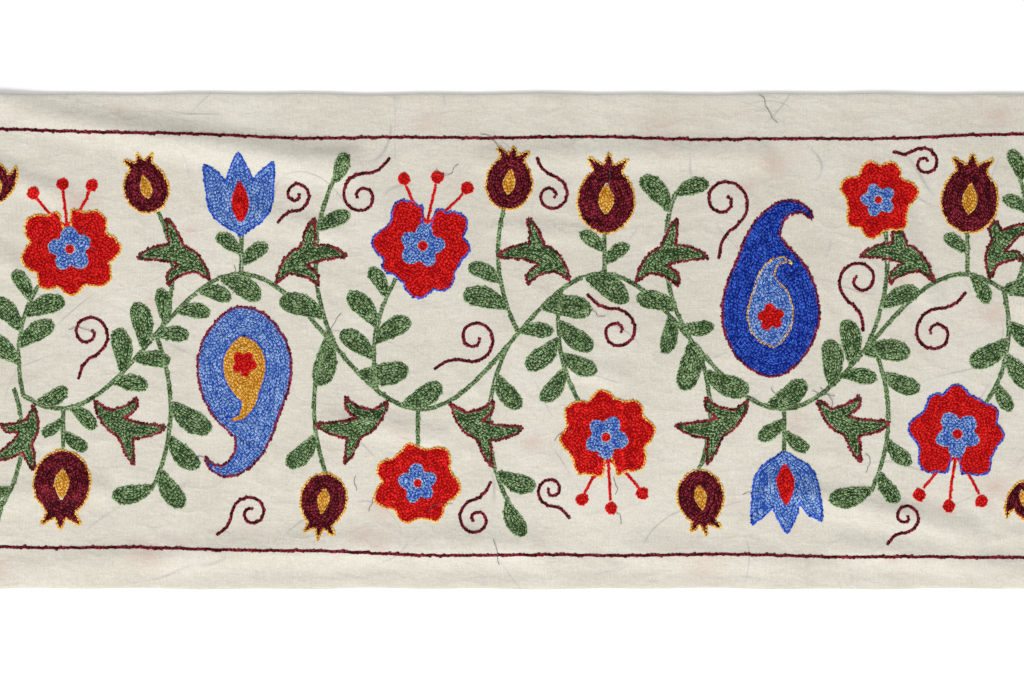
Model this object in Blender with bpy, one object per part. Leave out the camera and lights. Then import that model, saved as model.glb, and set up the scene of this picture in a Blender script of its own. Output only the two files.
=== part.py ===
"""An embroidered cotton panel lying on a table, as one closed sheet.

The panel is a length of hemmed cotton that lies flat, apart from the low, soft creases
that its embroidery and its handling have left in it. Units are metres, +Z is up, and the
origin is under the middle of the cloth, on the surface that it lies on.
"""

import math

import bmesh
import bpy

# Driving dimensions of the cloth.
LENGTH = 0.700
WIDTH = 0.300
THICKNESS = 0.0015

# The grid that carries the creases: squares of about 10 mm.
CELLS_ALONG = 66
CELLS_ACROSS = 30

# Below this height a crease is pressed flat, so that most of the cloth touches the table.
PRESSED_FLAT = 0.00025

# Each crease is a soft ridge from one point of the cloth to another. Places are in
# millimetres from the middle of the cloth. half_width is how far from its line a ridge
# has fallen to about a third of its height, and bow is how far its middle is pushed to
# its left.
CREASE_COLUMNS = ("x0", "y0", "x1", "y1", "half_width", "height", "bow")
CREASES = (
    (-340, 155, -85, 104, 10.0, 4.2, -5),  # the long diagonal crease at the top left
    (-350, 128, -262, 84, 7.5, 2.2, -4),
    (-350, 92, -285, 34, 7.5, 1.8, -4),
    (-350, -105, -235, -90, 9.0, 1.8, 5),
    (-345, -150, 30, -126, 11.0, 2.4, 10),  # along the lower border
    (60, -127, 220, -150, 10.0, 1.8, 5),
    (145, -88, 292, -122, 9.0, 2.6, 3),
    (185, -124, 345, -150, 9.0, 2.4, 3),
    (-30, 108, 165, 112, 9.0, 2.0, 3),  # along the upper border
    (-176, 78, -92, 62, 8.0, 1.6, 2),
    (-8, 66, 56, 64, 7.5, 1.4, 0),
    (-125, -48, -34, -62, 8.0, 1.8, 3),
    (26, -14, 78, -24, 7.5, 1.4, 0),
    (232, 90, 262, 12, 8.0, 1.6, -4),
    (300, 40, 345, -62, 9.0, 1.8, 5),
)


def ramp(value):
    """0 below 0, 1 above 1, and a smooth step between them."""
    held = min(1.0, max(0.0, value))
    return held * held * (3 - 2 * held)


def crease_height(crease, x, y):
    """Height of one crease over the point x, y, with the crease's sizes in millimetres."""
    run_x = crease["x1"] - crease["x0"]
    run_y = crease["y1"] - crease["y0"]
    run = math.hypot(run_x, run_y)
    from_x = x - crease["x0"]
    from_y = y - crease["y0"]
    along = (from_x * run_x + from_y * run_y) / run**2
    bowed = crease["bow"] * (1 - (2 * along - 1) ** 2)
    across = (run_x * from_y - run_y * from_x) / run - bowed
    fade = 1.8 * crease["half_width"] / run
    ends = ramp(along / fade) * ramp((1 - along) / fade)
    return crease["height"] * ends * math.exp(-((across / crease["half_width"]) ** 2))


def cloth_height(x, y):
    """How far the underside of the cloth is off the table at x, y, in metres."""
    raised = 0.0
    for row in CREASES:
        crease = dict(zip(CREASE_COLUMNS, row))
        raised += crease_height(crease, 1000 * x, 1000 * y) / 1000
    return max(0.0, raised - PRESSED_FLAT)


def cotton_material():
    """Unbleached cotton, matt and off-white."""
    material = bpy.data.materials.new("cotton")
    material.use_nodes = True
    shader = material.node_tree.nodes["Principled BSDF"]
    shader.inputs["Base Color"].default_value = (0.70, 0.66, 0.57, 1.0)
    shader.inputs["Roughness"].default_value = 0.9
    shader.inputs["Metallic"].default_value = 0.0
    return material


def make_cloth():
    """The panel: a grid lifted along its creases, then given its thickness upwards."""
    mesh = bmesh.new()
    bmesh.ops.create_grid(mesh, x_segments=CELLS_ALONG, y_segments=CELLS_ACROSS, size=0.5)
    bmesh.ops.scale(mesh, vec=(LENGTH, WIDTH, 1.0), verts=mesh.verts)
    for corner in mesh.verts:
        corner.co.z = cloth_height(corner.co.x, corner.co.y)

    raised = bmesh.ops.extrude_face_region(mesh, geom=mesh.faces[:], use_keep_orig=True)
    upper = [item for item in raised["geom"] if isinstance(item, bmesh.types.BMVert)]
    bmesh.ops.translate(mesh, vec=(0.0, 0.0, THICKNESS), verts=upper)
    bmesh.ops.recalc_face_normals(mesh, faces=mesh.faces)

    data = bpy.data.meshes.new("cloth")
    mesh.to_mesh(data)
    mesh.free()
    data.shade_smooth()
    data.set_sharp_from_angle(angle=math.radians(50))
    data.materials.append(cotton_material())
    cloth = bpy.data.objects.new("cloth", data)
    bpy.context.scene.collection.objects.link(cloth)
    return cloth


for old in list(bpy.data.objects):
    bpy.data.objects.remove(old)

make_cloth()
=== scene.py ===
import math

import bmesh
import bpy
import numpy as np
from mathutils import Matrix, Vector
from mathutils.geometry import delaunay_2d_cdt


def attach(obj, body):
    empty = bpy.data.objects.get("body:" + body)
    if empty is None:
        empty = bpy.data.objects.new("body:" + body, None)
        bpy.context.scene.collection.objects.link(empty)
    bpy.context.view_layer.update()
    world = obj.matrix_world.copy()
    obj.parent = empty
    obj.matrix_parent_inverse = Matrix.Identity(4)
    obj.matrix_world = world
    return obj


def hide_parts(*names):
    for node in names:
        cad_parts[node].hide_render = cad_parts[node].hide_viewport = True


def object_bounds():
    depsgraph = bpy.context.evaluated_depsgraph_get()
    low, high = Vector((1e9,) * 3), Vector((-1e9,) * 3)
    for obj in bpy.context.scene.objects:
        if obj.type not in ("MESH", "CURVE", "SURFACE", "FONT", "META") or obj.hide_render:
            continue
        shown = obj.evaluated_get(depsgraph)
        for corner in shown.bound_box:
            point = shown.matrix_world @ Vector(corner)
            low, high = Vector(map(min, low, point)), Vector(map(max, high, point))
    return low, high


# An embroidered cotton panel, laid out flat. The cloth is a thin sheet on its solid's creases, and
# every stitch of the embroidery is a small loop of thread. The design is worked out in millimetres
# from the middle of the cloth, and the meshes are made in metres.

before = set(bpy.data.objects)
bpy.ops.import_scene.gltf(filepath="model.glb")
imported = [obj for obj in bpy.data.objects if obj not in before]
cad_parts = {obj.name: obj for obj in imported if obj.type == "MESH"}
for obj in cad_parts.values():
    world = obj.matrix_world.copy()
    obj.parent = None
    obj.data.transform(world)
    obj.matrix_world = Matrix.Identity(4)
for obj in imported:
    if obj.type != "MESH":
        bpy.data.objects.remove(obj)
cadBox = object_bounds()
mm = 0.001
rng = np.random.default_rng(21)
print("frame loaded:", sorted(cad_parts))

cloth = {
    "length": 700.0,
    "width": 300.0,
    "thickness": 0.9,
    "cell": 2.25,
    "edgeDrop": 0.6,  # how much of a fold is gone at the very edge
    "edgeReach": 26.0,  # how far in that begins
    "pressedFlat": 0.25,  # a crease lower than this is pressed flat
    "hemWidth": 7.0,
    "hemStep": 2.4,
    "hemRise": 0.3,
    "edgeRounding": 0.35,
    "edgeWobble": 0.3,
    "wobbleReach": 15.0,
}

# x0, y0, x1, y1, half width, height, and how far the middle bows to the left
creases = (
    (-340, 155, -85, 104, 10.0, 4.2, -5),
    (-350, 128, -262, 84, 7.5, 2.2, -4),
    (-350, 92, -285, 34, 7.5, 1.8, -4),
    (-350, -105, -235, -90, 9.0, 1.8, 5),
    (-345, -150, 30, -126, 11.0, 2.4, 10),
    (60, -127, 220, -150, 10.0, 1.8, 5),
    (145, -88, 292, -122, 9.0, 2.6, 3),
    (185, -124, 345, -150, 9.0, 2.4, 3),
    (-30, 108, 165, 112, 9.0, 2.0, 3),
    (-176, 78, -92, 62, 8.0, 1.6, 2),
    (-8, 66, 56, 64, 7.5, 1.4, 0),
    (-125, -48, -34, -62, 8.0, 1.8, 3),
    (26, -14, 78, -24, 7.5, 1.4, 0),
    (232, 90, 262, 12, 8.0, 1.6, -4),
    (300, 40, 345, -62, 9.0, 1.8, 5),
)

puckers = {
    "count": 150,
    "lengths": (14, 46),
    "halfWidths": (1.9, 3.6),
    "heights": (0.12, 0.5),
}


def ramp(value):
    held = np.clip(value, 0, 1)
    return held * held * (3 - 2 * held)


def creaseHeight(crease, x, y):
    x0, y0, x1, y1, halfWidth, height, bow = crease
    runX = x1 - x0
    runY = y1 - y0
    run = math.hypot(runX, runY)
    along = ((x - x0) * runX + (y - y0) * runY) / run**2
    across = (runX * (y - y0) - runY * (x - x0)) / run - bow * (1 - (2 * along - 1) ** 2)
    fade = 1.8 * halfWidth / run
    ends = ramp(along / fade) * ramp((1 - along) / fade)
    return height * ends * np.exp(-((across / halfWidth) ** 2))


def puckerTable():
    # small creases that the pull of the stitching leaves, mostly running up and to the right
    table = []
    for _ in range(puckers["count"]):
        x = rng.uniform(-335, 335)
        y = rng.uniform(-128, 128)
        angle = rng.normal(0.25, 0.9)
        length = rng.uniform(*puckers["lengths"])
        halfWidth = rng.uniform(*puckers["halfWidths"])
        height = rng.uniform(*puckers["heights"])
        bow = rng.uniform(-3, 3)
        table.append(
            (x, y, x + length * math.cos(angle), y + length * math.sin(angle), halfWidth, height, bow)
        )
    return table


smallCreases = puckerTable()


def fromEdge(x, y):
    return np.minimum(cloth["length"] / 2 - np.abs(x), cloth["width"] / 2 - np.abs(y))


def foldHeight(x, y):
    # the folds, lower near the edges, where nothing holds them up
    lift = sum(creaseHeight(crease, x, y) for crease in creases)
    lift *= 1 - cloth["edgeDrop"] * ramp(1 - fromEdge(x, y) / cloth["edgeReach"])
    return np.maximum(0, lift - cloth["pressedFlat"])


def faceHeight(x, y):
    # the height of the worked face, in mm
    hem = cloth["hemRise"] * ramp((cloth["hemWidth"] - fromEdge(x, y)) / cloth["hemStep"] + 0.5)
    small = sum(creaseHeight(crease, x, y) for crease in smallCreases)
    ripple = 0.05 * np.sin(x / 5.1 + 2 * np.sin(y / 23)) * np.sin(y / 6.3 + 2 * np.sin(x / 31))
    return foldHeight(x, y) + small + ripple + hem + cloth["thickness"]


# Shapes are rows of discs, each x, y and radius in mm, that stand for all the cloth they cover.
# A row of stitches at some depth inside a shape is the edge of the same discs made that much smaller.


def alongCurve(points, count):
    # count places on a smooth curve through the points, which may have any number of columns
    points = np.asarray(points, float)
    padded = np.vstack([2 * points[0] - points[1], points, 2 * points[-1] - points[-2]])
    spots = np.linspace(0, len(points) - 1, count)
    start = np.minimum(spots.astype(int), len(points) - 2)
    t = (spots - start)[:, None]
    a, b, c, d = (padded[start + k] for k in range(4))
    return 0.5 * (2 * b + (c - a) * t + (2 * a - 5 * b + 4 * c - d) * t**2 + (3 * b - a - 3 * c + d) * t**3)


def stroke(*stops, count=26):
    # discs along a curve through stops of x, y and radius
    discs = alongCurve(stops, count)
    discs[:, 2] = np.maximum(discs[:, 2], 0.2)
    return discs


def placed(discs, x, y, turn=0, size=1.0, flip=1):
    # a shape drawn round (0, 0) and growing up, moved to x, y and turned by degrees to the left
    angle = math.radians(turn)
    moved = np.array(discs, float)
    across = discs[:, 0] * flip * size
    up = discs[:, 1] * size
    moved[:, 0] = x + across * math.cos(angle) - up * math.sin(angle)
    moved[:, 1] = y + across * math.sin(angle) + up * math.cos(angle)
    moved[:, 2] = discs[:, 2] * size
    return moved


def lineTo(start, end, bow, count=40):
    # a stem from start to end, its middle pushed to the left by bow
    start = np.array(start, float)
    end = np.array(end, float)
    run = end - start
    side = np.array([-run[1], run[0]]) / np.hypot(*run)
    t = np.linspace(0, 1, count)[:, None]
    return start + run * t + side * bow * 4 * t * (1 - t)


def headingOf(points, share):
    # the place on a line at that share of it, and its direction in degrees
    at = min(int(share * (len(points) - 1)), len(points) - 2)
    step = points[at + 1] - points[at]
    return points[at], math.degrees(math.atan2(step[1], step[0]))


# leaves and flowers


def leafShape(length, width):
    # narrow where it joins the stem, widest past the middle, with a blunt tip
    t = np.linspace(0, 1, 30)
    fullness = t**0.9 * (1 - t) ** 0.4
    bend = 0.09 * length * np.sin(math.pi * t)
    return np.column_stack([bend, t * length, np.maximum(width / 2 * fullness / fullness.max(), 0.5)])


def splitLeafShape():
    # a long curved leaf with two side lobes, about 56 mm tall
    body = ((0, 0, 1.2), (4, 11, 4.6), (5.5, 23, 7.4), (2, 35, 7.0), (-6, 46, 4.8), (-15, 54, 0.9))
    upper = ((4, 27, 5.5), (10, 36, 5.4), (17, 44, 3.6), (22, 52, 0.8))
    lower = ((4, 16, 5.0), (-4.5, 23, 4.8), (-12, 26, 3.6), (-19.5, 23.5, 0.8))
    return np.vstack([stroke(*body, count=34), stroke(*upper, count=22), stroke(*lower, count=22)])


def scallopShape(radius, lobes, lobeShare, uneven=0.0, first=0, body=0.5):
    # a round flower with lobes round its rim, no two quite alike, the top one left out where first is 1
    lobeRadius = radius * lobeShare
    reach = radius * 0.97 - lobeRadius
    discs = [(0, 0, reach + lobeRadius * body)]
    for lobe in range(first, lobes):
        angle = 2 * math.pi * (lobe + rng.uniform(-uneven, uneven)) / lobes + math.pi / 2
        own = lobeRadius * (1 + rng.uniform(-uneven, uneven))
        out = reach * (1 + 0.4 * rng.uniform(-uneven, uneven))
        discs.append((out * math.cos(angle), out * math.sin(angle), own))
        out += 0.42 * own
        discs.append((out * math.cos(angle), out * math.sin(angle), 0.68 * own))
    return np.array(discs, float)


def bothSides(*stops, count=26):
    # one stroke and its mirror image
    right = stroke(*stops, count=count)
    return np.vstack([right * (-1, 1, 1), right])


def pomegranateShape():
    # a round fruit with a crown of three points, about 36 mm tall
    fruit = stroke((0, 5, 4), (0, 11, 11.5), (0, 15, 12.6), (0, 20, 9.5), count=14)
    point = stroke((0, 22, 4.5), (0, 29, 2.6), (0, 36, 0.4), count=12)
    return np.vstack([fruit, point, bothSides((1, 23, 4.2), (4.5, 28, 2.6), (10, 33.5, 0.4), count=12)])


def budShape():
    # a plump bud with two pointed sepals, about 27 mm tall
    bud = stroke((0, 2, 2), (0, 8, 7.2), (0, 15, 7.6), (0, 24, 2.0), (0, 27, 0.5), count=18)
    return np.vstack([bud, bothSides((1, 5, 4), (7, 11, 4.2), (11, 18, 2.2), (12, 23, 0.4), count=14)])


def tulipShape():
    # three tall petals, about 40 mm tall
    middle = stroke((0, 4, 4), (0, 15, 8.0), (0, 27, 6.6), (0, 37, 2.4), (0, 41, 0.4))
    return np.vstack([middle, bothSides((1, 5, 4), (8, 14, 7.0), (12, 26, 5.2), (17.5, 36, 0.5))])


def botehShape():
    # the almond with a bent tip, about 96 mm tall and 54 mm across
    return stroke(
        (0, 8, 8), (-1, 22, 21), (0, 34, 27), (1, 47, 24), (0, 60, 17), (-1, 71, 11.5), (3, 82, 8),
        (11, 90, 5.4), (20, 91, 3.4), (26, 86, 1.9), (27, 80, 0.5),
        count=60,
    )


def curlLine(radius, turns=1.3):
    # a tendril with a bent tail that winds in on itself
    t = np.linspace(0, 1, 60)
    angle = -math.pi / 2 + 2 * math.pi * turns * t
    reach = radius * (1 - 0.8 * t**0.8)
    coil = np.column_stack([reach * np.cos(angle), radius + reach * np.sin(angle)])
    tail = alongCurve([(-1.1, -0.75), (-0.75, -0.3), (-0.35, -0.06), (0, 0)], 20) * radius
    return np.vstack([tail[:-1], coil])


stitching = {
    "row": 1.45,  # from one row of a filling to the next
    "fillLink": 2.1,
    "rims": {"goldRims": 1.8, "royalRims": 2.0, "maroonRims": 2.6},
    "rimLink": 2.0,
    "rimHold": 0.45,  # how far the filling runs under it
    "line": 2.4,  # tendrils
    "lineLink": 2.1,
    "stalk": 2.2,  # of a berry
    "stalkLink": 1.6,
    "stem": 1.6,  # each of a stem's two lines
    "stemLink": 2.0,
    "height": 0.62,
    "stray": 0.12,  # how unevenly the links turn, in radians
    "shift": 0.09,
    "overlap": 1.4,  # each link starts inside the one before
    "gridCell": 0.45,
    "shadeSheetHeight": 0.24,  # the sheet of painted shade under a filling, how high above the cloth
    "shadeSheetDepth": 0.45,  # how far inside a filling its sheet of painted shade ends
    # the strip of painted shade under a line, how high above the cloth
    "lineShadeSheetHeight": 0.13,
    "lineTones": (0.0, 0.5),  # of 0 to 1, the darker end
    "sink": 0.08,
    "handWobble": 0.2,
}

links = {}
paintedShadeSheets = {}
claimed = []
stemPaths = []


def depthInside(discs, x, y):
    # how far inside the shape each place is, and less than 0 outside it
    deepest = np.full(np.shape(x), -99.0)
    for discX, discY, radius in discs:
        np.maximum(deepest, radius - np.hypot(x - discX, y - discY), out=deepest)
    return deepest


def reachOf(discs):
    low = (discs[:, :2] - discs[:, 2:]).min(axis=0)
    high = (discs[:, :2] + discs[:, 2:]).max(axis=0)
    return low, high


def nearby(low, high):
    found = []
    for discs in claimed:
        otherLow, otherHigh = reachOf(discs)
        if (otherLow < high).all() and (otherHigh > low).all():
            found.append(discs)
    return found


def apart(first, second):
    # the distance from each point of one row to each of the other
    return np.hypot(first[:, None, 0] - second[None, :, 0], first[:, None, 1] - second[None, :, 1])


def roomFor(discs, gap=0.6):
    low, high = reachOf(discs)
    if low[1] < borderAt(-1, low[0]) + border["clear"] or high[1] > borderAt(1, high[0]) - border["clear"]:
        return False
    if max(-low[0], high[0]) > border["x"] - border["clear"]:
        return False
    free = discs[len(discs) // 4 :]  # the foot of a leaf may touch its stem
    for other in nearby(low - gap, high + gap):
        if (apart(free, other) - free[:, None, 2] - other[None, :, 2]).min() < gap:
            return False
    return True


def depthMap(discs, openings=(), hearts=(), edge=0.0):
    # the depth inside a shape on a fine grid. It stops at what is already worked there and at its
    # openings, and comes down to that edge at its hearts
    low, high = reachOf(discs)
    cell = stitching["gridCell"]
    xs = np.arange(low[0] - 1.5, high[0] + 1.5 + cell, cell)
    ys = np.arange(low[1] - 1.5, high[1] + 1.5 + cell, cell)
    x, y = np.meshgrid(xs, ys)
    depth = depthInside(discs, x, y)
    for other in nearby(low, high):
        depth = np.minimum(depth, -depthInside(other, x, y) - 0.1)
    for opening in openings:
        depth = np.minimum(depth, -depthInside(opening, x, y))
    for heart in hearts:
        depth = np.minimum(depth, edge - depthInside(heart, x, y))
    wobble = np.sin(x / 1.3 + 2 * np.sin(y / 2.9)) * np.sin(y / 1.5 + 2 * np.sin(x / 3.3))
    depth += stitching["handWobble"] * wobble
    depth[[0, -1], :] = -9
    depth[:, [0, -1]] = -9
    return depth, xs, ys


def rowsAt(depth, xs, ys, level):
    # the closed lines along which the shape is exactly that deep
    above = depth > level
    count = above[:-1, :-1].astype(int) + above[:-1, 1:] + above[1:, 1:] + above[1:, :-1]
    joins = {}
    for i, j in np.argwhere((count > 0) & (count < 4)).tolist():
        corners = (above[i, j], above[i, j + 1], above[i + 1, j + 1], above[i + 1, j])
        sides = ((i, j, 0), (i, j + 1, 1), (i + 1, j, 0), (i, j, 1))
        cut = [sides[k] for k in range(4) if corners[k] != corners[(k + 1) % 4]]
        for first, second in zip(cut[::2], cut[1::2]):
            joins.setdefault(first, []).append(second)
            joins.setdefault(second, []).append(first)
    rows = []
    while joins:
        start = next(iter(joins))
        trail = [start]
        here = joins.pop(start)[0]
        while here in joins:
            trail.append(here)
            ahead = [side for side in joins.pop(here) if side in joins]
            if not ahead:
                break
            here = ahead[0]
        i, j, up = np.array(trail).T
        nearDepth = depth[i, j]
        farDepth = depth[i + up, j + 1 - up]
        share = (level - nearDepth) / (farDepth - nearDepth)
        cell = xs[1] - xs[0]
        rows.append(np.column_stack([xs[j] + (1 - up) * share * cell, ys[i] + up * share * cell]))
    return [np.vstack([row, row[:1]]) for row in rows if len(row) > 5]


def evenly(points, step):
    # places along a line, close to a step apart
    lengths = np.hypot(*np.diff(points, axis=0).T)
    travelled = np.concatenate([[0], np.cumsum(lengths)])
    steps = max(1, round(travelled[-1] / step))
    spots = np.linspace(0, travelled[-1], steps + 1)
    return np.column_stack([np.interp(spots, travelled, points[:, k]) for k in range(2)])


def chain(piece, points, width, link, tones=(0, 1)):
    # one line of chain stitch, each link its foot, heading, length, width, height, tone and lean
    ends = evenly(points, link)
    steps = np.diff(ends, axis=0)
    run = np.hypot(*steps.T)
    number = len(steps)
    heading = np.arctan2(steps[:, 1], steps[:, 0]) + rng.normal(0, stitching["stray"], number)
    made = np.column_stack(
        [
            ends[:-1] + rng.normal(0, stitching["shift"], (number, 2)),
            np.cos(heading),
            np.sin(heading),
            run * stitching["overlap"] * rng.uniform(0.88, 1.12, number),
            width * rng.uniform(0.85, 1.15, number),
            stitching["height"] * rng.uniform(0.7, 1.2, number),
            rng.uniform(*tones, number),
            rng.uniform(-0.4, 0.4, number),
        ]
    )
    links.setdefault(piece, []).append(made)
    return made


def coverCells(covered, xs, ys, made, width):
    # marks the cells of the grid that some links cover
    cell = xs[1] - xs[0]
    for along in np.linspace(0.04, 0.8, 7):
        for across in np.linspace(-0.42, 0.42, 5):
            x = made[:, 0] + made[:, 2] * made[:, 4] * along - made[:, 3] * width * across
            y = made[:, 1] + made[:, 3] * made[:, 4] * along + made[:, 2] * width * across
            i = np.clip(np.round((y - ys[0]) / cell).astype(int), 0, len(ys) - 1)
            j = np.clip(np.round((x - xs[0]) / cell).astype(int), 0, len(xs) - 1)
            covered[i, j] = True


def fillGaps(piece, depth, xs, ys, edge, made, row):
    # single links in the slivers that the rows leave, lying as the nearest row does
    covered = depth < edge + 0.3 * row
    coverCells(covered, xs, ys, made, row)
    link = stitching["fillLink"]
    places = np.argwhere(~covered)
    order = np.argsort(-depth[places[:, 0], places[:, 1]], kind="stable")
    for i, j in places[order]:
        around = ~covered[i - 1 : i + 2, j - 1 : j + 2]
        if covered[i, j] or around.sum() < 5:
            continue
        nearest = made[np.argmin(np.hypot(made[:, 0] - xs[j], made[:, 1] - ys[i]))]
        extra = nearest[None].copy()
        extra[0, :2] = (xs[j] - nearest[2] * link / 2, ys[i] - nearest[3] * link / 2)
        extra[0, 4:6] = (link, row * 0.9)
        extra[0, 7] = rng.uniform(0, 1)
        links[piece].append(extra)
        coverCells(covered, xs, ys, extra, row)


def paintedShadeUnderFill(piece, depth, xs, ys, level):
    # painted shade under a filling: a sheet mostly in the thread's deep colour, as a net of triangles
    # inside its edge
    loops = [evenly(row, 1.5)[:-1] for row in rowsAt(depth, xs, ys, level)]
    loops = [loop for loop in loops if len(loop) > 3]
    if not loops:
        return
    points = [tuple(point) for loop in loops for point in loop]
    edges = []
    first = 0
    for loop in loops:
        number = len(loop)
        edges += [(first + k, first + (k + 1) % number) for k in range(number)]
        first += number
    step = 11  # cells of the grid between the points that follow the cloth
    for i in range(step // 2, len(ys), step):
        for j in range(step // 2, len(xs), step):
            if depth[i, j] > level + 1.5:
                points.append((xs[j], ys[i]))
    corners, _, triangles, *_ = delaunay_2d_cdt([Vector(point) for point in points], edges, [], 1, 1e-4)
    corners = np.array([tuple(corner) for corner in corners])
    triangles = np.array(triangles)
    middle = corners[triangles].mean(axis=1)
    i = np.round((middle[:, 1] - ys[0]) / stitching["gridCell"]).astype(int)
    j = np.round((middle[:, 0] - xs[0]) / stitching["gridCell"]).astype(int)
    kept = triangles[depth[i, j] > level - 0.1]
    paintedShadeSheets.setdefault(piece, []).append((corners, kept, stitching["shadeSheetHeight"]))


def paintedShadeUnderLine(piece, made, width):
    # painted shade under a line of chain: a narrow strip mostly in the thread's deep colour, a piece for
    # each unbroken run of links
    starts = made[:, :2]
    breaks = np.hypot(*np.diff(starts, axis=0).T) > 2.2 * stitching["lineLink"]
    for run in np.split(made, np.flatnonzero(breaks) + 1):
        if len(run) < 3:
            continue
        side = np.column_stack([-run[:, 3], run[:, 2]]) * width * 0.36
        corners = np.vstack([run[:, :2] + side, run[:, :2] - side])
        first = np.arange(len(run) - 1)
        other = first + len(run)
        triangles = np.vstack(
            [np.column_stack([other, other + 1, first]), np.column_stack([first, other + 1, first + 1])]
        )
        paintedShadeSheets.setdefault(piece, []).append((corners, triangles, stitching["lineShadeSheetHeight"]))


def fillShape(piece, discs, edge=0.0, openings=(), hearts=()):
    # rows of chain that follow the edge of the shape inwards, over a sheet of painted shade
    depth, xs, ys = depthMap(discs, openings, hearts, edge)
    room = depth.max() - edge
    row = room / max(1, round(room / stitching["row"]))
    row = np.clip(row, 0.86 * stitching["row"], 1.12 * stitching["row"])
    worked = []
    for level in np.arange(edge + row * 0.45, depth.max(), row):
        for line in rowsAt(depth, xs, ys, level):
            forwards = rng.uniform() < 0.5
            worked.append(chain(piece, line if forwards else line[::-1], row * 1.08, stitching["fillLink"]))
    if worked:
        fillGaps(piece, depth, xs, ys, edge, np.vstack(worked), row)
    paintedShadeUnderFill(piece, depth, xs, ys, stitching["shadeSheetDepth"] + 0.4 * edge)


def rimShape(piece, discs, openings=(), hearts=()):
    # one line of chain just inside the edge of the shape, left out where its hearts come to the edge
    depth, xs, ys = depthMap(discs, openings)
    width = stitching["rims"][piece]
    for line in rowsAt(depth, xs, ys, 0.4 * width):
        made = chain(piece, line, width, stitching["rimLink"])
        links[piece][-1] = made[outside(made, hearts)]
    return 0.8 * width - stitching["rimHold"]


def outside(made, shapes):
    # which links have their middle outside all those shapes
    middle = made[:, :2] + made[:, 2:4] * made[:, 4:5] / 2
    free = np.ones(len(made), bool)
    for discs in shapes:
        free &= depthInside(discs, middle[:, 0], middle[:, 1]) < 0.3
    return free


def workLine(piece, points, width, link, offset=0.0):
    # a line of chain that stops where it meets a motif
    points = np.array(points, float)
    along = np.gradient(points, axis=0)
    along /= np.hypot(*along.T)[:, None]
    points += np.column_stack([-along[:, 1], along[:, 0]]) * offset
    points[:, 1] += stitching["handWobble"] * np.sin(np.arange(len(points)) * 1.9 + points[0, 0])
    made = chain(piece, points, width, link, stitching["lineTones"])
    made = made[outside(made, nearby(points.min(axis=0) - 3, points.max(axis=0) + 3))]
    links[piece][-1] = made
    # a strip of painted shade under the line
    paintedShadeUnderLine(piece, made, width)


def workStem(points):
    # two lines of chain side by side
    for side in (0.5, -0.5):
        workLine("stems", points, stitching["stem"], stitching["stemLink"], side * 0.8 * stitching["stem"])


def workRosette(x, y, radius, rim, turn, berries):
    flower = placed(scallopShape(radius, 8 if radius > 28 else 7, 0.3, 0.16, berries), x, y, turn)
    centre = placed(scallopShape(radius * 0.46, 5, 0.37, 0.1, body=0.1), x, y, turn)
    eye = np.array([[x, y, 0.1 * radius]])
    openings = []
    if berries:
        notch = np.array([[0, 0.36, 0.04], [0, 1.0, 0.16]]) * radius
        openings.append(placed(stroke(*notch, count=12), x, y, turn))
    edge = rimShape(rim, flower, openings, [centre])
    fillShape("petals", flower, edge, openings, [centre])
    fillShape("flowerCentres", centre, hearts=[eye])
    fillShape("petals", eye)
    if berries:
        workBerries(x, y, radius, turn)
    claimed.append(flower)


def workBerries(x, y, radius, turn):
    # three stalks that come out of the flower's opening, a round berry on each
    up = math.radians(turn + 90)
    foot = (x + 0.45 * radius * math.cos(up), y + 0.45 * radius * math.sin(up))
    for spread in (-26, -2, 25):
        angle = math.radians(turn + 90 + spread * rng.uniform(0.9, 1.1))
        reach = radius * rng.uniform(1.32, 1.44)
        tip = (x + reach * math.cos(angle), y + reach * math.sin(angle))
        berry = np.array([[*tip, 0.13 * radius]])
        fillShape("berries", berry)
        claimed.append(berry)
        line = lineTo(foot, tip, spread / 16)
        workLine("berries", line, stitching["stalk"], stitching["stalkLink"])


def workBoteh(body, innerRim, heart, x, y, turn, size, flip):
    outer = placed(botehShape(), x, y, turn, size, flip)
    inner = placed(botehShape() * (0.52, 0.52, 0.48) + (0, 16, 0), x, y, turn, size, flip)
    flower = placed(scallopShape(7.6, 5, 0.38, 0.08, body=0.1) + (0, 33, 0), x, y, turn, size, flip)
    fillShape(body, outer, rimShape("maroonRims", outer), hearts=[inner])
    fillShape(heart, inner, rimShape(innerRim, inner), hearts=[flower])
    fillShape("petals", flower)
    claimed.append(outer)


def workBloom(kind, x, y, turn, size):
    shape, rim, filling, heart, heartFilling = bloomKinds[kind]
    bloom = placed(shape(), x, y, turn, size)
    middle = placed(stroke(*heart, count=12), x, y, turn, size)
    fillShape(filling, bloom, rimShape(rim, bloom), hearts=[middle])
    fillShape(heartFilling, middle)
    claimed.append(bloom)


def workSplitLeaf(x, y, turn, size, flip):
    leaf = placed(splitLeafShape(), x, y, turn, size, flip)
    fillShape("splitLeaves", leaf, rimShape("maroonRims", leaf))
    claimed.append(leaf)


def workLeaf(piece, length, x, y, turn, side):
    # says whether there was room for it
    leaf = placed(leafShape(length, length * leaves["slimness"]), x, y, turn, flip=side)
    if not roomFor(leaf):
        return False
    fillShape(piece, leaf)
    claimed.append(leaf)
    return True


def workCurl(x, y, radius, turn, flip):
    # turned or made smaller until it is clear of everything else
    for size in tendrils["sizes"]:
        for extra in tendrils["turns"]:
            line = curlLine(radius * size)
            line = np.column_stack([line, np.full(len(line), stitching["line"] / 2)])
            line = placed(line, x, y, turn + extra, flip=flip)
            fromStems = min(apart(line, stem).min() for stem in stemPaths)
            if roomFor(line[::-1], tendrils["gap"]) and fromStems > tendrils["stemGap"]:
                workLine("curls", line[:, :2], stitching["line"], stitching["lineLink"])
                claimed.append(line)
                return
    print("no room for the tendril at", x, y)


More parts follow.
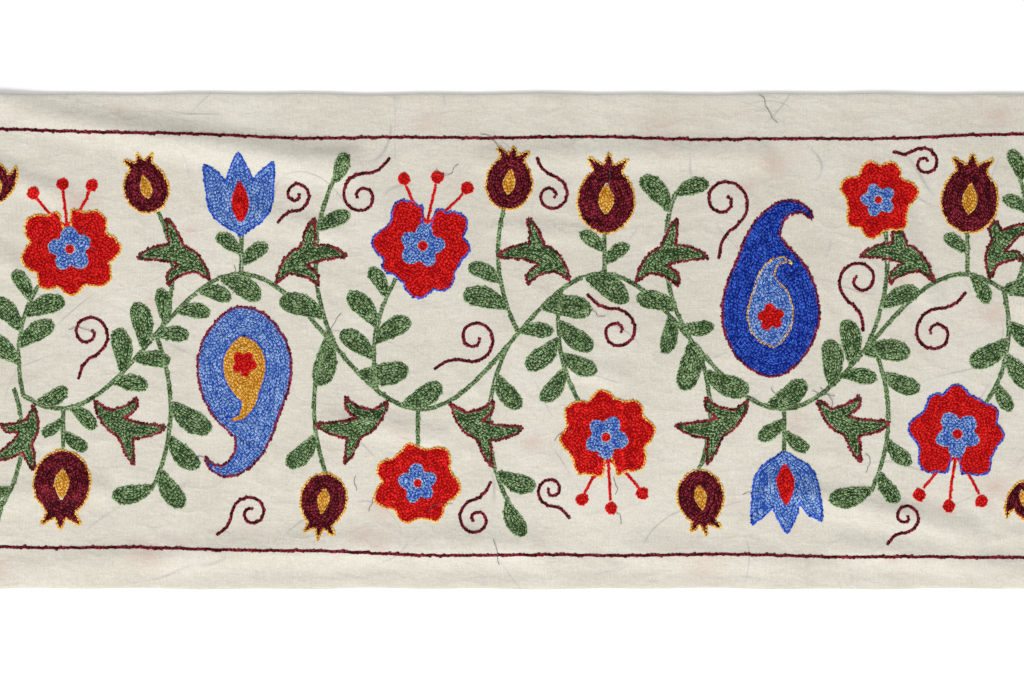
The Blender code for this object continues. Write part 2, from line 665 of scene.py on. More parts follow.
tendrils = {
    "sizes": (1.0, 0.9, 0.8, 0.7),
    "turns": (0, 15, -15, 30, -30, 50, -50, 75, -75, 105, -105, 140, -140, 180),
    "gap": 1.6,
    "stemGap": 4.2,
}

leaves = {
    "slimness": 0.5,
    "sizes": (1, 0.8, 0.64, 0.5),  # a smaller leaf where the full one has no room
    "spread": 50,  # from the stem, in degrees
    "vineSpread": 48,
    "vineSizes": (1, 0.78),
    "vineLength": 27,
    "vineStep": 13,
}


def leafySpray(rootX, endX, endY, bow, number, leafLength, tipped):
    stem = lineTo(vineAt(rootX), (endX, endY), bow)
    side = 1 if number > 3 else -1
    lastLeaf = 0
    for leaf in range(number):
        share = 0.2 + (0.8 if tipped else 0.5) * leaf / (number - 1)
        (x, y), heading = headingOf(stem, share)
        tip = tipped and leaf == number - 1
        turn = heading - 90 + (0 if tip else side * leaves["spread"])
        for size in leaves["sizes"][: 4 if tip else 2]:
            length = leafLength * size * (1.05 - 0.2 * share) * rng.uniform(0.93, 1.06)
            if workLeaf("sprayLeaves", length, x, y, turn, side):
                lastLeaf = share
                break
        side = -side
    workStem(stem[: math.ceil(len(stem) * lastLeaf)] if tipped else stem)


def vineLeaves():
    # leaves set along the vine itself, on both sides, wherever there is room for one
    for x in np.arange(-292, 296, leaves["vineStep"]):
        for side in (1, -1):
            here = np.array(vineAt(x + 3 * side))
            ahead = np.array(vineAt(x + 3 * side + 1))
            heading = math.degrees(math.atan2(*(ahead - here)[::-1]))
            for size in leaves["vineSizes"]:
                length = leaves["vineLength"] * size * rng.uniform(0.9, 1.05)
                if workLeaf("vineLeaves", length, *here, heading - 90 + side * leaves["vineSpread"], side):
                    break


# where everything goes, in mm from the middle of the cloth

vine = {"rise": 38.0, "period": 218.0, "crestAt": -164.0, "sway": 3.0, "end": 297.0}
border = {
    "x": 328.0,
    "top": (126.6, -1.6, -3.4),  # its middle y, how much its right end is higher, and its bow up
    "bottom": (-126.4, -3.4, -2.6),
    "clear": 4.0,  # between it and the motifs
    "sway": 0.7,
    "width": 2.3,
    "link": 2.2,
}


def vineAt(x):
    wave = math.cos(2 * math.pi * (x - vine["crestAt"]) / vine["period"])
    return x, vine["rise"] * wave + vine["sway"] * math.sin(x / 37)


# x, y, radius, rim, turn, 1 if three berries come out of it, where its stem leaves the vine, and the
# stem's bow
rosettes = (
    (-268, 56, 30, "goldRims", 8, 1, -296, 14),
    (-54, 58, 31, "royalRims", -10, 1, -82, 12),
    (57, -58, 30, "goldRims", 186, 1, 30, -12),
    (270, -56, 31, "royalRims", 175, 1, 298, 14),
    (-57, -86, 27, "goldRims", 10, 0, -57, 0),
    (222, 86, 24, "goldRims", 20, 0, 214, -9),
)

# filling, rim and filling of its heart, x, y, turn, size and flip, standing on the vine or hanging from it
botehs = (
    ("botehSky", "royalRims", "hearts", -166, 22, 186, 1.08, 1),
    ("botehRoyal", "goldRims", "botehSky", 160, -22, 5, 1.12, 1),
)

# shape, rim, filling, the heart's discs, and the heart's filling
bloomKinds = {
    "tulip": (tulipShape, "royalRims", "tulips", ((0, 9, 2.2), (0, 16, 4.4), (0, 27, 0.8)), "petals"),
    "bud": (budShape, "goldRims", "fruits", ((0, 6, 0.8), (0, 11, 2.4), (0, 17, 0.6)), "hearts"),
    "pomegranate": (
        pomegranateShape, "goldRims", "fruits", ((0, 9, 1.2), (0, 14, 3.4), (0, 21, 0.8)), "hearts",
    ),
}

# kind, x, y, turn, size
blooms = (
    ("tulip", -164, 64, 2, 1.25),
    ("pomegranate", 56, 66, -3, 1.4),
    ("tulip", 165, -66, 182, 1.25),
    ("pomegranate", -272, -66, 178, 1.4),
    ("pomegranate", 276, 66, -4, 1.4),
    ("pomegranate", -218, 78, 14, 1.1),
    ("pomegranate", -4, 80, -8, 1.15),
    ("pomegranate", -112, -80, 172, 1.15),
    ("pomegranate", 112, -78, 188, 1.15),
    ("bud", 308, -84, 190, 1.0),
    ("bud", -310, 84, 6, 1.0),
)

# x on the vine, turn, size, flip
splitLeaves = (
    (-182, 58, 0.88, 1),
    (-144, -54, 0.88, -1),
    (-74, 122, 0.88, -1),
    (-38, -124, 0.88, 1),
    (36, 56, 0.88, 1),
    (74, -56, 0.88, -1),
    (144, 124, 0.88, -1),
    (184, -122, 0.88, 1),
    (-290, 158, 0.8, -1),
    (-254, -126, 0.88, 1),
    (256, 56, 0.88, 1),
    (290, -22, 0.8, -1),
)

# x, y, radius, turn, flip
curls = (
    (-252, -8, 14, 20, 1),
    (-170, -104, 12, -90, -1),
    (-131, 79, 10, 0, 1),
    (-90, 102, 14, 176, 1),
    (-24, -96, 12, 176, 1),
    (24, -100, 10, 0, -1),
    (-28, -12, 15, -20, 1),
    (26, 100, 12, 168, -1),
    (62, 20, 14, 186, -1),
    (136, 70, 17, 12, 1),
    (204, 24, 15, -14, -1),
    (238, -116, 10, 0, 1),
    (258, 20, 15, 176, 1),
    (244, 116, 10, 168, -1),
)

# where it starts on the vine, end x and y, bow, leaves, leaf length, and 1 if a leaf tips it
sprays = (
    (-212, -216, 82, -8, 6, 27, 0),
    (-216, -222, -97, 12, 9, 28, 1),
    (-106, -108, 98, 12, 9, 28, 1),
    (-112, -112, -82, -8, 6, 27, 0),
    (4, -4, 84, 8, 6, 27, 0),
    (-2, -2, -98, -12, 9, 28, 1),
    (108, 102, 98, 12, 9, 28, 1),
    (112, 112, -82, 8, 6, 27, 0),
    (218, 214, -98, 12, 9, 28, 1),
    (302, 308, 98, -8, 7, 24, 1),
    (-302, -308, -98, 8, 7, 24, 1),
    (-164, -164, 66, 0, 3, 18, 0),
    (56, 56, 70, 0, 3, 18, 0),
    (165, 165, -70, 0, 3, 18, 0),
    (-272, -272, -70, 0, 3, 18, 0),
    (276, 276, 68, 0, 3, 18, 0),
)


def borderAt(side, x):
    # the long lines of the border lean and bow a little, as they were drawn by hand
    middle, lean, bow = border["top"] if side > 0 else border["bottom"]
    share = x / border["x"]
    return middle + lean * share + bow * (1 - share**2)


def workBorder():
    # one line of chain near the edge, all the way round
    along = np.linspace(-1, 1, 160)
    for side in (1, -1):
        x = along * border["x"]
        y = borderAt(side, x) + border["sway"] * (np.sin(x / 47 + side) + 0.6 * np.sin(x / 19 - side))
        workLine("border", np.column_stack([x, y]), border["width"], border["link"])
    for side in (1, -1):
        low, high = (borderAt(end, side * border["x"]) for end in (-1, 1))
        y = np.linspace(low, high, 160)
        x = side * border["x"] + border["sway"] * np.sin(y / 31 + side)
        workLine("border", np.column_stack([x, y]), border["width"], border["link"])


def layOutStems():
    stemPaths.append(np.array([vineAt(x) for x in np.linspace(-vine["end"], vine["end"], 300)]))
    for x, y, *_, rootX, bow in rosettes:
        stemPaths.append(lineTo(vineAt(rootX), (x, y), bow))
    for rootX, endX, endY, bow, *_ in sprays:
        stemPaths.append(lineTo(vineAt(rootX), (endX, endY), bow))


def workEmbroidery():
    layOutStems()
    workBorder()
    for row in rosettes:
        workRosette(*row[:6])
    for row in botehs:
        workBoteh(*row)
    for row in blooms:
        workBloom(*row)
    for x, turn, size, flip in splitLeaves:
        workSplitLeaf(*vineAt(x), turn, size, flip)
    for row in curls:
        workCurl(*row)
    for x, y, *_, rootX, bow in rosettes:
        leafySpray(rootX, x, y, bow, 6, 25, 0)
    for row in sprays:
        leafySpray(*row)
    vineLeaves()
    workStem(stemPaths[0])


workEmbroidery()
for piece in sorted(links):
    print(piece, "has", sum(len(made) for made in links[piece]), "links")


# meshes


def addObject(name, data):
    added = bpy.data.objects.new(name, data)
    bpy.context.scene.collection.objects.link(added)
    return added


def bakedFrom(holder):
    # the mesh that an object comes to, in place of the object
    mesh = bpy.data.meshes.new_from_object(holder.evaluated_get(bpy.context.evaluated_depsgraph_get()))
    bpy.data.objects.remove(holder)
    return mesh


def showObject(name, mesh, material):
    mesh.materials.clear()
    mesh.materials.append(material)
    shown = addObject(name, mesh)
    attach(shown, "root")
    return shown


def meshFrom(bm, name):
    mesh = bpy.data.meshes.new(name)
    bm.to_mesh(mesh)
    bm.free()
    return mesh


def valuesOf(things, field, width=1, kind=np.float32):
    values = np.empty(len(things) * width, kind)
    things.foreach_get(field, values)
    return values.reshape(-1, width) if width > 1 else values


def placesIn(mesh):
    return valuesOf(mesh.vertices, "co", 3)


def setPlaces(mesh, places):
    mesh.vertices.foreach_set("co", places.astype(np.float32).ravel())
    mesh.update()


def setValues(mesh, name, values, kind="FLOAT", field="value"):
    attribute = mesh.attributes.new(name, kind, "POINT")
    attribute.data.foreach_set(field, np.asarray(values, np.float32).ravel())


linkShape = {
    "stations": (0.0, 0.3, 0.66, 1.0),
    "widths": (0.0, 0.84, 1.0, 0.66),
    "rises": (0.0, 0.85, 1.0, 0.0),
    "ridges": (0.0, 1.0, 0.42, 1.0, 0.0),  # height across the loop
    "paintedLightAcross": (0.3, 1.0, 0.0, 1.0, 0.3),  # how much painted light each place has: painted highlight on the ridges, painted shade in the groove and at the edges
    # painted light at the tail and at the head of the loop
    "paintedLightTail": 0.35,
    "paintedLightHead": 0.5,
}


def makeLink():
    # one loop of chain stitch, 1 m long and wide, from its tail at the origin to its head on +Y
    bm = bmesh.new()
    bmesh.ops.create_grid(bm, x_segments=4, y_segments=3, size=0.5)
    # each corner carries painted light: painted highlight on the ridges, painted shade in the groove, at
    # the edges, the tail and the head
    paintedLight = bm.verts.layers.float.new("paintedLight")
    tail = []
    for corner in bm.verts:
        column = round((corner.co.x + 0.5) * 4)
        row = round((corner.co.y + 0.5) * 3)
        rise = linkShape["rises"][row] * linkShape["ridges"][column]
        corner.co = (corner.co.x * linkShape["widths"][row], linkShape["stations"][row], rise)
        corner[paintedLight] = linkShape["paintedLightAcross"][column]
        if row == 0:
            corner[paintedLight] = linkShape["paintedLightTail"]
            tail.append(corner)
        elif row == 3:
            corner[paintedLight] = linkShape["paintedLightHead"]
    bmesh.ops.pointmerge(bm, verts=tail, merge_co=(0, 0, 0))
    bmesh.ops.holes_fill(bm, edges=[edge for edge in bm.edges if edge.is_boundary], sides=0)
    bmesh.ops.triangulate(bm, faces=bm.faces[:])
    bmesh.ops.recalc_face_normals(bm, faces=bm.faces[:])
    for face in bm.faces:
        face.smooth = True
    return bpy.data.objects.new("chainLink", meshFrom(bm, "chainLink"))


def chainNodes(link):
    # stands a copy of the link on every point and makes them one mesh
    tree = bpy.data.node_groups.new("chainOfLinks", "GeometryNodeTree")
    tree.interface.new_socket("Geometry", in_out="INPUT", socket_type="NodeSocketGeometry")
    tree.interface.new_socket("Geometry", in_out="OUTPUT", socket_type="NodeSocketGeometry")
    pointsIn = tree.nodes.new("NodeGroupInput")
    meshOut = tree.nodes.new("NodeGroupOutput")
    linkInfo = tree.nodes.new("GeometryNodeObjectInfo")
    linkInfo.inputs["Object"].default_value = link
    setLinks = tree.nodes.new("GeometryNodeInstanceOnPoints")
    realize = tree.nodes.new("GeometryNodeRealizeInstances")
    tree.links.new(pointsIn.outputs[0], setLinks.inputs["Points"])
    tree.links.new(linkInfo.outputs["Geometry"], setLinks.inputs["Instance"])
    for name, socket in (("turning", "Rotation"), ("sizing", "Scale")):
        attribute = tree.nodes.new("GeometryNodeInputNamedAttribute")
        attribute.data_type = "FLOAT_VECTOR"
        attribute.inputs["Name"].default_value = name
        tree.links.new(attribute.outputs["Attribute"], setLinks.inputs[socket])
    tree.links.new(setLinks.outputs["Instances"], realize.inputs["Geometry"])
    tree.links.new(realize.outputs["Geometry"], meshOut.inputs[0])
    return tree


def linkMesh(name, made, link, tree):
    # every link of one piece, each turned along its row and lying on the cloth
    points = bpy.data.meshes.new(name + "Points")
    points.vertices.add(len(made))
    setPlaces(points, np.column_stack([made[:, :2] * mm, np.zeros(len(made))]))
    heading = np.arctan2(made[:, 3], made[:, 2]) - math.pi / 2
    turning = np.column_stack([np.zeros(len(made)), made[:, 8], heading])
    setValues(points, "turning", turning, "FLOAT_VECTOR", "vector")
    setValues(points, "sizing", made[:, [5, 4, 6]] * mm, "FLOAT_VECTOR", "vector")
    setValues(points, "tone", made[:, 7])
    holder = addObject(name + "Points", points)
    holder.modifiers.new("links", "NODES").node_group = tree
    mesh = bakedFrom(holder)
    bpy.data.meshes.remove(points)
    places = placesIn(mesh)
    places[:, 2] += (faceHeight(places[:, 0] / mm, places[:, 1] / mm) - stitching["sink"]) * mm
    setPlaces(mesh, places)
    return mesh


def addPaintedShadeSheet(bm, corners, triangles, raised):
    # one sheet of painted shade, a filled net of triangles, given a thin wall downwards
    height = faceHeight(corners[:, 0], corners[:, 1]) + raised
    verts = [bm.verts.new((x * mm, y * mm, z * mm)) for (x, y), z in zip(corners, height)]
    top = [bm.faces.new([verts[k] for k in triangle]) for triangle in triangles]
    bmesh.ops.delete(bm, geom=[corner for corner in verts if not corner.link_faces], context="VERTS")
    walls = bmesh.ops.extrude_face_region(bm, geom=top, use_keep_orig=True)
    lowered = [part for part in walls["geom"] if isinstance(part, bmesh.types.BMVert)]
    bmesh.ops.translate(bm, verts=lowered, vec=(0, 0, -(raised + stitching["sink"]) * mm))


def facesDown(mesh, most):
    # for each corner of each face, whether the face looks down more than that
    down = valuesOf(mesh.polygons, "normal", 3)[:, 2] < most
    return np.repeat(down, valuesOf(mesh.polygons, "loop_total", kind=np.int32))


def cornerPlaces(mesh):
    return placesIn(mesh)[valuesOf(mesh.loops, "vertex_index", kind=np.int32)]


def laidFlat(mesh, most):
    # the upper side in the lower half of the map, and all that looks down more than that above it
    places = cornerPlaces(mesh)
    across = 0.5 + places[:, 0] / (cloth["length"] * mm) * linkMap["held"]
    up = 0.25 + places[:, 1] / (cloth["width"] * mm) * linkMap["held"] / 2 + 0.5 * facesDown(mesh, most)
    return np.array([across, up])


def setMap(mesh, across, up):
    layer = mesh.uv_layers.new(name="OFBake")
    layer.data.foreach_set("uv", np.column_stack([across, up]).astype(np.float32).ravel())


linkMap = {
    "held": 0.97,  # of the map's width, by the cloth
    "share": 0.85,  # of the map's height that the links have, the rest being the painted shade sheets'
    "margin": 0.06,  # of each cell
    "top": 0.58,  # of each cell, the height that the link's upper side has
    "under": 0.24,
}


def mapStitches(mesh, number, linkData):
    # a cell of the map for each link, its upper side below its underside, and above them all the sheets of
    # painted shade
    columns = math.ceil(math.sqrt(number / linkMap["share"]))
    corner = cornerPlaces(linkData)
    under = facesDown(linkData, -0.2)
    across = linkMap["margin"] + (1 - 2 * linkMap["margin"]) * (corner[:, 0] + 0.5)
    up = linkMap["margin"] + np.where(under, linkMap["top"] + linkMap["margin"], 0)
    up += corner[:, 1] * np.where(under, linkMap["under"], linkMap["top"])
    order = np.arange(number)[:, None]
    linkAcross = ((order % columns + across) / columns).ravel()
    linkUp = ((order // columns + up) / columns).ravel()
    backAcross, backUp = laidFlat(mesh, 0.5)[:, len(linkAcross) :]
    backUp = linkMap["share"] + (1 - linkMap["share"]) * backUp
    setMap(mesh, np.concatenate([linkAcross, backAcross]), np.concatenate([linkUp, backUp]))


def stitchPiece(name, material, link, tree):
    made = np.vstack(links[name])
    linkPart = linkMesh(name, made, link, tree)
    number = len(made)
    bm = bmesh.new()
    bm.from_mesh(linkPart)
    bpy.data.meshes.remove(linkPart)
    # the sheets of painted shade, a dark thread colour under the links
    for corners, triangles, raised in paintedShadeSheets.get(name, ()):
        addPaintedShadeSheet(bm, corners, triangles, raised)
    bmesh.ops.recalc_face_normals(bm, faces=bm.faces[number * len(link.data.polygons) :])
    mesh = meshFrom(bm, name)
    mapStitches(mesh, number, link.data)
    shown = showObject(name + "Stitches", mesh, material)
    return shown


# finishes


def fromScreen(*rgb):
    # a colour as a paint chart gives it, 0 to 255, made linear
    shares = np.array(rgb) / 255
    linear = np.where(shares <= 0.04045, shares / 12.92, ((shares + 0.055) / 1.055) ** 2.4)
    return (*linear.tolist(), 1.0)


def feed(tree, socket, value):
    # links another socket, or sets a plain value
    if isinstance(value, bpy.types.NodeSocket):
        tree.links.new(value, socket)
    else:
        socket.default_value = value


def addNode(tree, kind, **inputs):
    node = tree.nodes.new(kind)
    for name, value in inputs.items():
        feed(tree, node.inputs[name], value)
    return node


def addMath(tree, operation, *values, clamp=False):
    node = tree.nodes.new("ShaderNodeMath")
    node.operation = operation
    node.use_clamp = clamp
    for socket, value in zip(node.inputs, values):
        feed(tree, socket, value)
    return node.outputs[0]


def addMix(tree, share, first, second):
    node = tree.nodes.new("ShaderNodeMix")
    node.data_type = "RGBA"
    for socket, value in zip((node.inputs[0], node.inputs[6], node.inputs[7]), (share, first, second)):
        feed(tree, socket, value)
    return node.outputs[2]


def addNoise(tree, vector, scale, detail=2.0, roughness=0.5):
    settings = {"Vector": vector, "Scale": scale, "Detail": detail, "Roughness": roughness}
    return addNode(tree, "ShaderNodeTexNoise", **settings).outputs["Fac"]


def addAttribute(tree, name):
    node = tree.nodes.new("ShaderNodeAttribute")
    node.attribute_name = name
    return node.outputs["Fac"]


def newMaterial(name, roughness, specular):
    material = bpy.data.materials.new(name)
    material.use_nodes = True
    shader = material.node_tree.nodes["Principled BSDF"]
    shader.inputs["Roughness"].default_value = roughness
    shader.inputs["Specular IOR Level"].default_value = specular
    return material, material.node_tree, shader.inputs


def objectPlaces(tree, scale=(1, 1, 1), turn=0.0):
    places = tree.nodes.new("ShaderNodeTexCoord").outputs["Object"]
    mapping = addNode(tree, "ShaderNodeMapping", Vector=places, Scale=scale, Rotation=(0, 0, turn))
    return mapping.outputs[0]


def makeStrandGroup():
    # painted highlight on the strands over painted shade in the gaps, from the painted light of its mesh,
    # each stitch a little different from its tone
    tree = bpy.data.node_groups.new("threadStrands", "ShaderNodeTree")
    for name in ("Deep", "Middle", "Bright"):
        tree.interface.new_socket(name, in_out="INPUT", socket_type="NodeSocketColor")
    tree.interface.new_socket("Unevenness", in_out="INPUT", socket_type="NodeSocketFloat")
    tree.interface.new_socket("Color", in_out="OUTPUT", socket_type="NodeSocketColor")
    tree.interface.new_socket("Height", in_out="OUTPUT", socket_type="NodeSocketFloat")
    given = tree.nodes.new("NodeGroupInput").outputs
    made = tree.nodes.new("NodeGroupOutput").inputs
    places = objectPlaces(tree)
    patches = addNoise(tree, places, 160.0, 1.0)
    strands = addNoise(tree, places, 1100.0, 3.0, 0.65)
    spread = addMath(tree, "MULTIPLY_ADD", addAttribute(tree, "tone"), 0.5, -0.25)
    spread = addMath(tree, "ADD", spread, addMath(tree, "SUBTRACT", patches, 0.5))
    spread = addMath(tree, "MULTIPLY_ADD", addMath(tree, "SUBTRACT", strands, 0.5), 3.0, spread)
    # painted light from the mesh, moved up or down by each stitch's tone and the noise
    light = addMath(tree, "MULTIPLY_ADD", spread, given["Unevenness"], addAttribute(tree, "paintedLight"))
    low = addMath(tree, "MULTIPLY", light, 2.0, clamp=True)
    high = addMath(tree, "MULTIPLY_ADD", light, 2.0, -1.0, clamp=True)
    shade = addMix(tree, low, given["Deep"], given["Middle"])
    tree.links.new(addMix(tree, high, shade, given["Bright"]), made["Color"])
    tree.links.new(strands, made["Height"])
    return tree


threads = {
    # deep, middle and bright colour, which give the painted shade in the gaps, the thread's own colour and
    # the painted highlight on the ridges as well as its random tone, how uneven it is, and its slot
    "red": ((128, 2, 4), (208, 14, 16), (246, 50, 44), 0.8, "red_thread"),
    "maroon": ((36, 3, 7), (98, 17, 27), (156, 50, 66), 1.3, "maroon_thread"),
    "gold": ((150, 92, 14), (214, 152, 48), (245, 205, 110), 0.9, "gold_thread"),
    "green": ((32, 52, 26), (90, 119, 70), (164, 188, 142), 1.0, "green_thread"),
    "sky": ((28, 62, 140), (98, 138, 196), (172, 198, 230), 0.9, "sky_blue_thread"),
    "royal": ((8, 22, 96), (20, 62, 172), (74, 116, 220), 1.1, "royal_blue_thread"),
    "grey": ((84, 82, 88), (140, 138, 142), (176, 172, 170), 0.8, "cotton"),
}


def makeThread(name, strandGroup):
    material, tree, shader = newMaterial(name + "Thread", 0.65, 0.05)
    strands = tree.nodes.new("ShaderNodeGroup")
    strands.node_tree = strandGroup
    # the deep colour is the painted shade in the gaps and under the links, the bright one the painted
    # highlight on the ridges
    for socket, colour in zip(("Deep", "Middle", "Bright"), threads[name]):
        strands.inputs[socket].default_value = fromScreen(*colour)
    strands.inputs["Unevenness"].default_value = threads[name][3]
    bump = addNode(tree, "ShaderNodeBump", Strength=0.35, Distance=0.0002, Height=strands.outputs["Height"])
    tree.links.new(strands.outputs["Color"], shader["Base Color"])
    tree.links.new(bump.outputs["Normal"], shader["Normal"])
    return material


clothFinish = {
    "dark": (186, 181, 166),
    "light": (210, 206, 194),
    "smudge": (190, 156, 146),
    "trail": (150, 148, 150),  # thread carried across the back, showing through
    "yarn": 0.00058,  # from one yarn of the weave to the next
}


def makeClothFinish():
    material, tree, shader = newMaterial("wovenCotton", 0.88, 0.25)
    shader["Sheen Weight"].default_value = 0.15
    places = objectPlaces(tree)
    turns = 2 * math.pi / clothFinish["yarn"]
    parts = addNode(tree, "ShaderNodeSeparateXYZ", Vector=places)
    wander = addMath(tree, "MULTIPLY", addNoise(tree, places, 60.0), 9.0)
    warp = addMath(tree, "SINE", addMath(tree, "MULTIPLY_ADD", parts.outputs["X"], turns, wander))
    weft = addMath(tree, "SINE", addMath(tree, "MULTIPLY_ADD", parts.outputs["Y"], turns, wander))
    weave = addMath(tree, "MULTIPLY", warp, weft)
    longWays = addNoise(tree, objectPlaces(tree, (90, 1300, 1)), 1.0, 3.0, 0.6)
    crossWays = addNoise(tree, objectPlaces(tree, (1200, 80, 1)), 1.0, 3.0, 0.6)
    slubs = addMath(tree, "ADD", longWays, crossWays)
    grain = addNoise(tree, places, 900.0, 3.0, 0.7)
    mottle = addNoise(tree, places, 26.0, 4.0, 0.6)
    wide = addNoise(tree, places, 5.0, 2.0)
    shade = addMath(tree, "MULTIPLY_ADD", mottle, 0.6, addMath(tree, "MULTIPLY", wide, 0.5))
    shade = addMath(tree, "MULTIPLY_ADD", slubs, 0.45, addMath(tree, "SUBTRACT", shade, 0.95))
    shade = addMath(tree, "MULTIPLY_ADD", grain, 1.2, addMath(tree, "SUBTRACT", shade, 0.15))
    share = addMath(tree, "MULTIPLY_ADD", shade, 1.6, -0.3, clamp=True)
    colour = addMix(tree, share, fromScreen(*clothFinish["dark"]), fromScreen(*clothFinish["light"]))
    colour = addMix(tree, addAttribute(tree, "smudge"), colour, fromScreen(*clothFinish["smudge"]))
    for scale, shift in ((7.0, 0.0), (11.0, 3.1), (9.0, 8.3)):
        # one level of a slow noise makes a long thin line, and a second noise leaves short pieces of it
        moved = addNode(tree, "ShaderNodeMapping", Vector=places, Location=(shift, shift, 0)).outputs[0]
        level = addMath(tree, "ABSOLUTE", addMath(tree, "SUBTRACT", addNoise(tree, moved, scale, 0.5), 0.5))
        line = addMath(tree, "MULTIPLY_ADD", level, -340.0 * 7.0 / scale, 1.0, clamp=True)
        piece = addMath(tree, "MULTIPLY_ADD", addNoise(tree, moved, 23.0, 1.0), 7.0, -3.7, clamp=True)
        line = addMath(tree, "MULTIPLY", addMath(tree, "MULTIPLY", line, piece), 0.6)
        colour = addMix(tree, line, colour, fromScreen(*clothFinish["trail"]))
    folded = addNoise(tree, objectPlaces(tree, (30, 52, 1), 0.5), 1.0, 3.0, 0.55)
    ridges = addMath(tree, "ABSOLUTE", addMath(tree, "SUBTRACT", folded, 0.5))
    ridges = addMath(tree, "MULTIPLY_ADD", ridges, -9.0, 1.0, clamp=True)
    height = addMath(tree, "MULTIPLY_ADD", weave, 0.35, addMath(tree, "MULTIPLY_ADD", grain, 1.2, slubs))
    fine = addNode(tree, "ShaderNodeBump", Strength=0.45, Distance=0.00012, Height=height)
    bump = addNode(tree, "ShaderNodeBump", Strength=0.5, Distance=0.0004, Height=ridges)
    tree.links.new(fine.outputs["Normal"], bump.inputs["Normal"])
    tree.links.new(colour, shader["Base Color"])
    tree.links.new(bump.outputs["Normal"], shader["Normal"])
    return material


smudges = {"count": 70, "radii": (2.5, 11.0), "strengths": (0.08, 0.45), "reach": (340, 142)}


def smudgeAt(x, y):
    # faint pinkish stains where colour has come off the thread
    strength = np.zeros(np.shape(x))
    for _ in range(smudges["count"]):
        centreX = rng.uniform(-1, 1) * smudges["reach"][0]
        centreY = rng.uniform(-1, 1) * smudges["reach"][1]
        radius = rng.uniform(*smudges["radii"])
        depth = rng.uniform(*smudges["strengths"])
        away = ((x - centreX) ** 2 + ((y - centreY) / 0.7) ** 2) / radius**2
        strength = np.maximum(strength, depth * np.exp(-away))
    return strength


def makeCloth(material):
    # one sheet, its face on the folds and small creases, its underside on the folds alone
    bm = bmesh.new()
    columns = round(cloth["length"] / cloth["cell"])
    rows = round(cloth["width"] / cloth["cell"])
    bmesh.ops.create_grid(bm, x_segments=columns, y_segments=rows, size=0.5)
    bmesh.ops.scale(bm, verts=bm.verts[:], vec=(cloth["length"] * mm, cloth["width"] * mm, 1))
    x, y = np.array([corner.co[:2] for corner in bm.verts]).T / mm
    face = faceHeight(x, y)
    under = foldHeight(x, y)
    nearSide = ramp(1 + (np.abs(y) - cloth["width"] / 2) / cloth["wobbleReach"])
    nearEnd = ramp(1 + (np.abs(x) - cloth["length"] / 2) / cloth["wobbleReach"])
    sideWobble = cloth["edgeWobble"] * (np.sin(x / 29 + 1) + np.sin(x / 11)) * nearSide
    endWobble = cloth["edgeWobble"] * np.sin(y / 17) * nearEnd
    x += endWobble * np.sign(x)
    y += sideWobble * np.sign(y)
    for corner, *place in zip(bm.verts, x * mm, y * mm, under * mm):
        corner.co = place
    raised = bmesh.ops.extrude_face_region(bm, geom=bm.faces[:], use_keep_orig=True)["geom"]
    lifted = [corner for corner in raised if isinstance(corner, bmesh.types.BMVert)]
    for corner, lift in zip(lifted, (face - under) * mm):
        corner.co.z += lift
    lifted = set(lifted)
    bmesh.ops.recalc_face_normals(bm, faces=bm.faces[:])
    rim = [edge for edge in bm.edges if edge.calc_face_angle(0) > 1 and lifted.issuperset(edge.verts)]
    bmesh.ops.bevel(
        bm, geom=rim, offset=cloth["edgeRounding"] * mm, offset_type="OFFSET",
        segments=2, profile=0.5, affect="EDGES", material=-1,
    )
    for side in bm.faces:
        side.smooth = True
    mesh = meshFrom(bm, "panelCloth")
    places = placesIn(mesh)
    setValues(mesh, "smudge", smudgeAt(places[:, 0] / mm, places[:, 1] / mm))
    setMap(mesh, *laidFlat(mesh, -0.5))
    return showObject("panelCloth", mesh, material)


def makeFloor():
    bm = bmesh.new()
    bmesh.ops.create_grid(bm, x_segments=1, y_segments=1, size=3.0)
    bmesh.ops.translate(bm, verts=bm.verts[:], vec=(0, 0, cadBox[0].z - 0.0002))
    material, _, shader = newMaterial("paleFloor", 0.9, 0.0)
    shader["Base Color"].default_value = (0.93, 0.93, 0.93, 1)
    mesh = meshFrom(bm, "floor")
    mesh.materials.append(material)
    addObject("floor", mesh)


studio = {
    "skyStrength": 0.70,
    "keyPlace": (-0.7, -2.5, 1.6),
    "keySize": 1.2,
    "keyPower": 100.0,
    "cameraHeight": 1.6,
    "frameWidth": 0.6206,
}


def lightAndCamera():
    scene = bpy.context.scene
    world = bpy.data.worlds.new("studio")
    world.use_nodes = True
    sky = world.node_tree.nodes["Background"].inputs
    sky["Strength"].default_value = studio["skyStrength"]
    sky["Color"].default_value = (1, 1, 1, 1)
    scene.world = world
    key = bpy.data.lights.new("key", "AREA")
    key.energy = studio["keyPower"]
    key.size = studio["keySize"]
    keyLight = addObject("key", key)
    keyLight.location = studio["keyPlace"]
    keyLight.rotation_euler = (-Vector(studio["keyPlace"])).to_track_quat("-Z", "Y").to_euler()
    view = bpy.data.cameras.new("camera")
    view.sensor_width = 36.0
    view.lens = view.sensor_width * studio["cameraHeight"] / studio["frameWidth"]
    scene.camera = addObject("camera", view)
    scene.camera.location = (0, 0, studio["cameraHeight"] + cloth["thickness"] * mm)
    scene.view_settings.view_transform = "Standard"


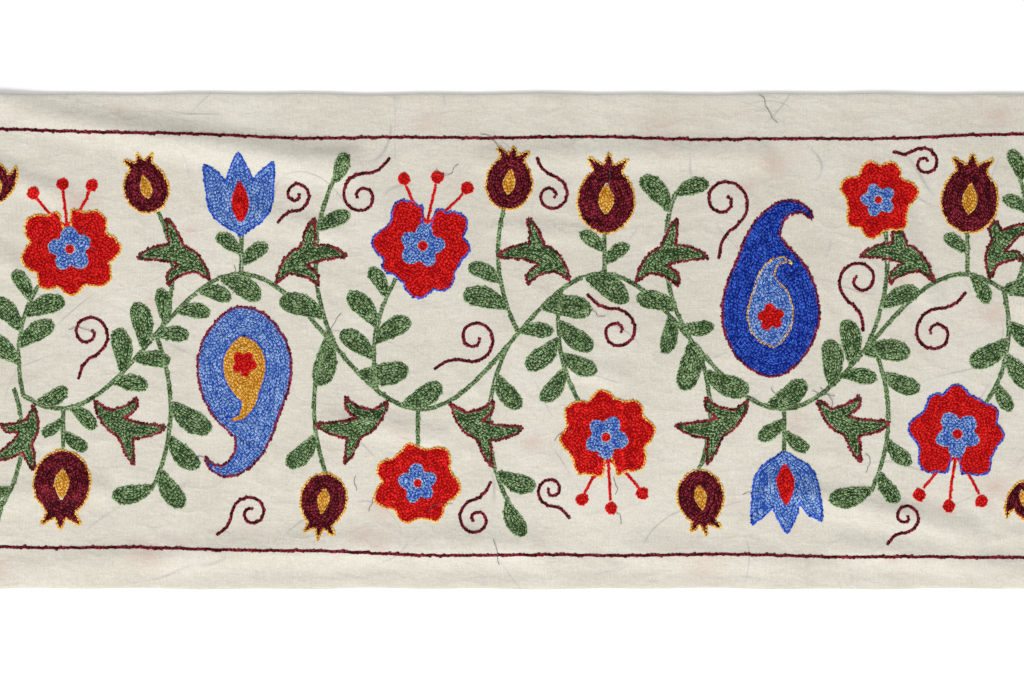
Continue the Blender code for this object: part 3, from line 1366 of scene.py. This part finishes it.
threadEnds = {"count": 26, "lengths": (7, 24), "steps": 16, "radius": 0.00013, "reach": (325, 138)}


def makeThreadEnds(material):
    # short ends of grey thread that lie loose on the cloth, each a thin round tube
    curve = bpy.data.curves.new("threadEnds", "CURVE")
    curve.dimensions = "3D"
    curve.bevel_depth = threadEnds["radius"]
    curve.bevel_resolution = 1
    curve.use_fill_caps = True
    for _ in range(threadEnds["count"]):
        start = rng.uniform(-1, 1, 2) * threadEnds["reach"]
        length = rng.uniform(*threadEnds["lengths"])
        heading = rng.uniform(0, 2 * math.pi)
        turns = heading + np.cumsum(rng.normal(0, 0.28, threadEnds["steps"]))
        steps = np.column_stack([np.cos(turns), np.sin(turns)]) * length / threadEnds["steps"]
        x, y = (start + np.cumsum(steps, axis=0)).T
        lift = threadEnds["radius"] * (1.6 + 2.5 * np.abs(np.sin(np.arange(len(x)) * 0.5)))
        z = faceHeight(x, y) * mm + lift
        spline = curve.splines.new("POLY")
        spline.points.add(len(x) - 1)
        spline.points.foreach_set("co", np.column_stack([x * mm, y * mm, z, z * 0 + 1]).ravel())
    return showObject("looseThreadEnds", bakedFrom(addObject("threadEndCurves", curve)), material)


fills = {
    # piece: thread
    "petals": "red",
    "berries": "red",
    "flowerCentres": "sky",
    "botehSky": "sky",
    "botehRoyal": "royal",
    "tulips": "sky",
    "fruits": "maroon",
    "hearts": "gold",
    "splitLeaves": "green",
    "vineLeaves": "green",
    "sprayLeaves": "green",
    "stems": "green",
    "goldRims": "gold",
    "royalRims": "royal",
    "maroonRims": "maroon",
    "curls": "maroon",
    "border": "maroon",
}

strandGroup = makeStrandGroup()
threadMaterials = {name: makeThread(name, strandGroup) for name in threads}
chainLink = makeLink()
linkNodes = chainNodes(chainLink)
panel = makeCloth(makeClothFinish())
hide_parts("cloth")
print("cloth made with", len(panel.data.polygons), "faces")

for name, thread in fills.items():
    stitchPiece(name, threadMaterials[thread], chainLink, linkNodes)

makeThreadEnds(makeThread("grey", strandGroup))

makeFloor()
lightAndCamera()
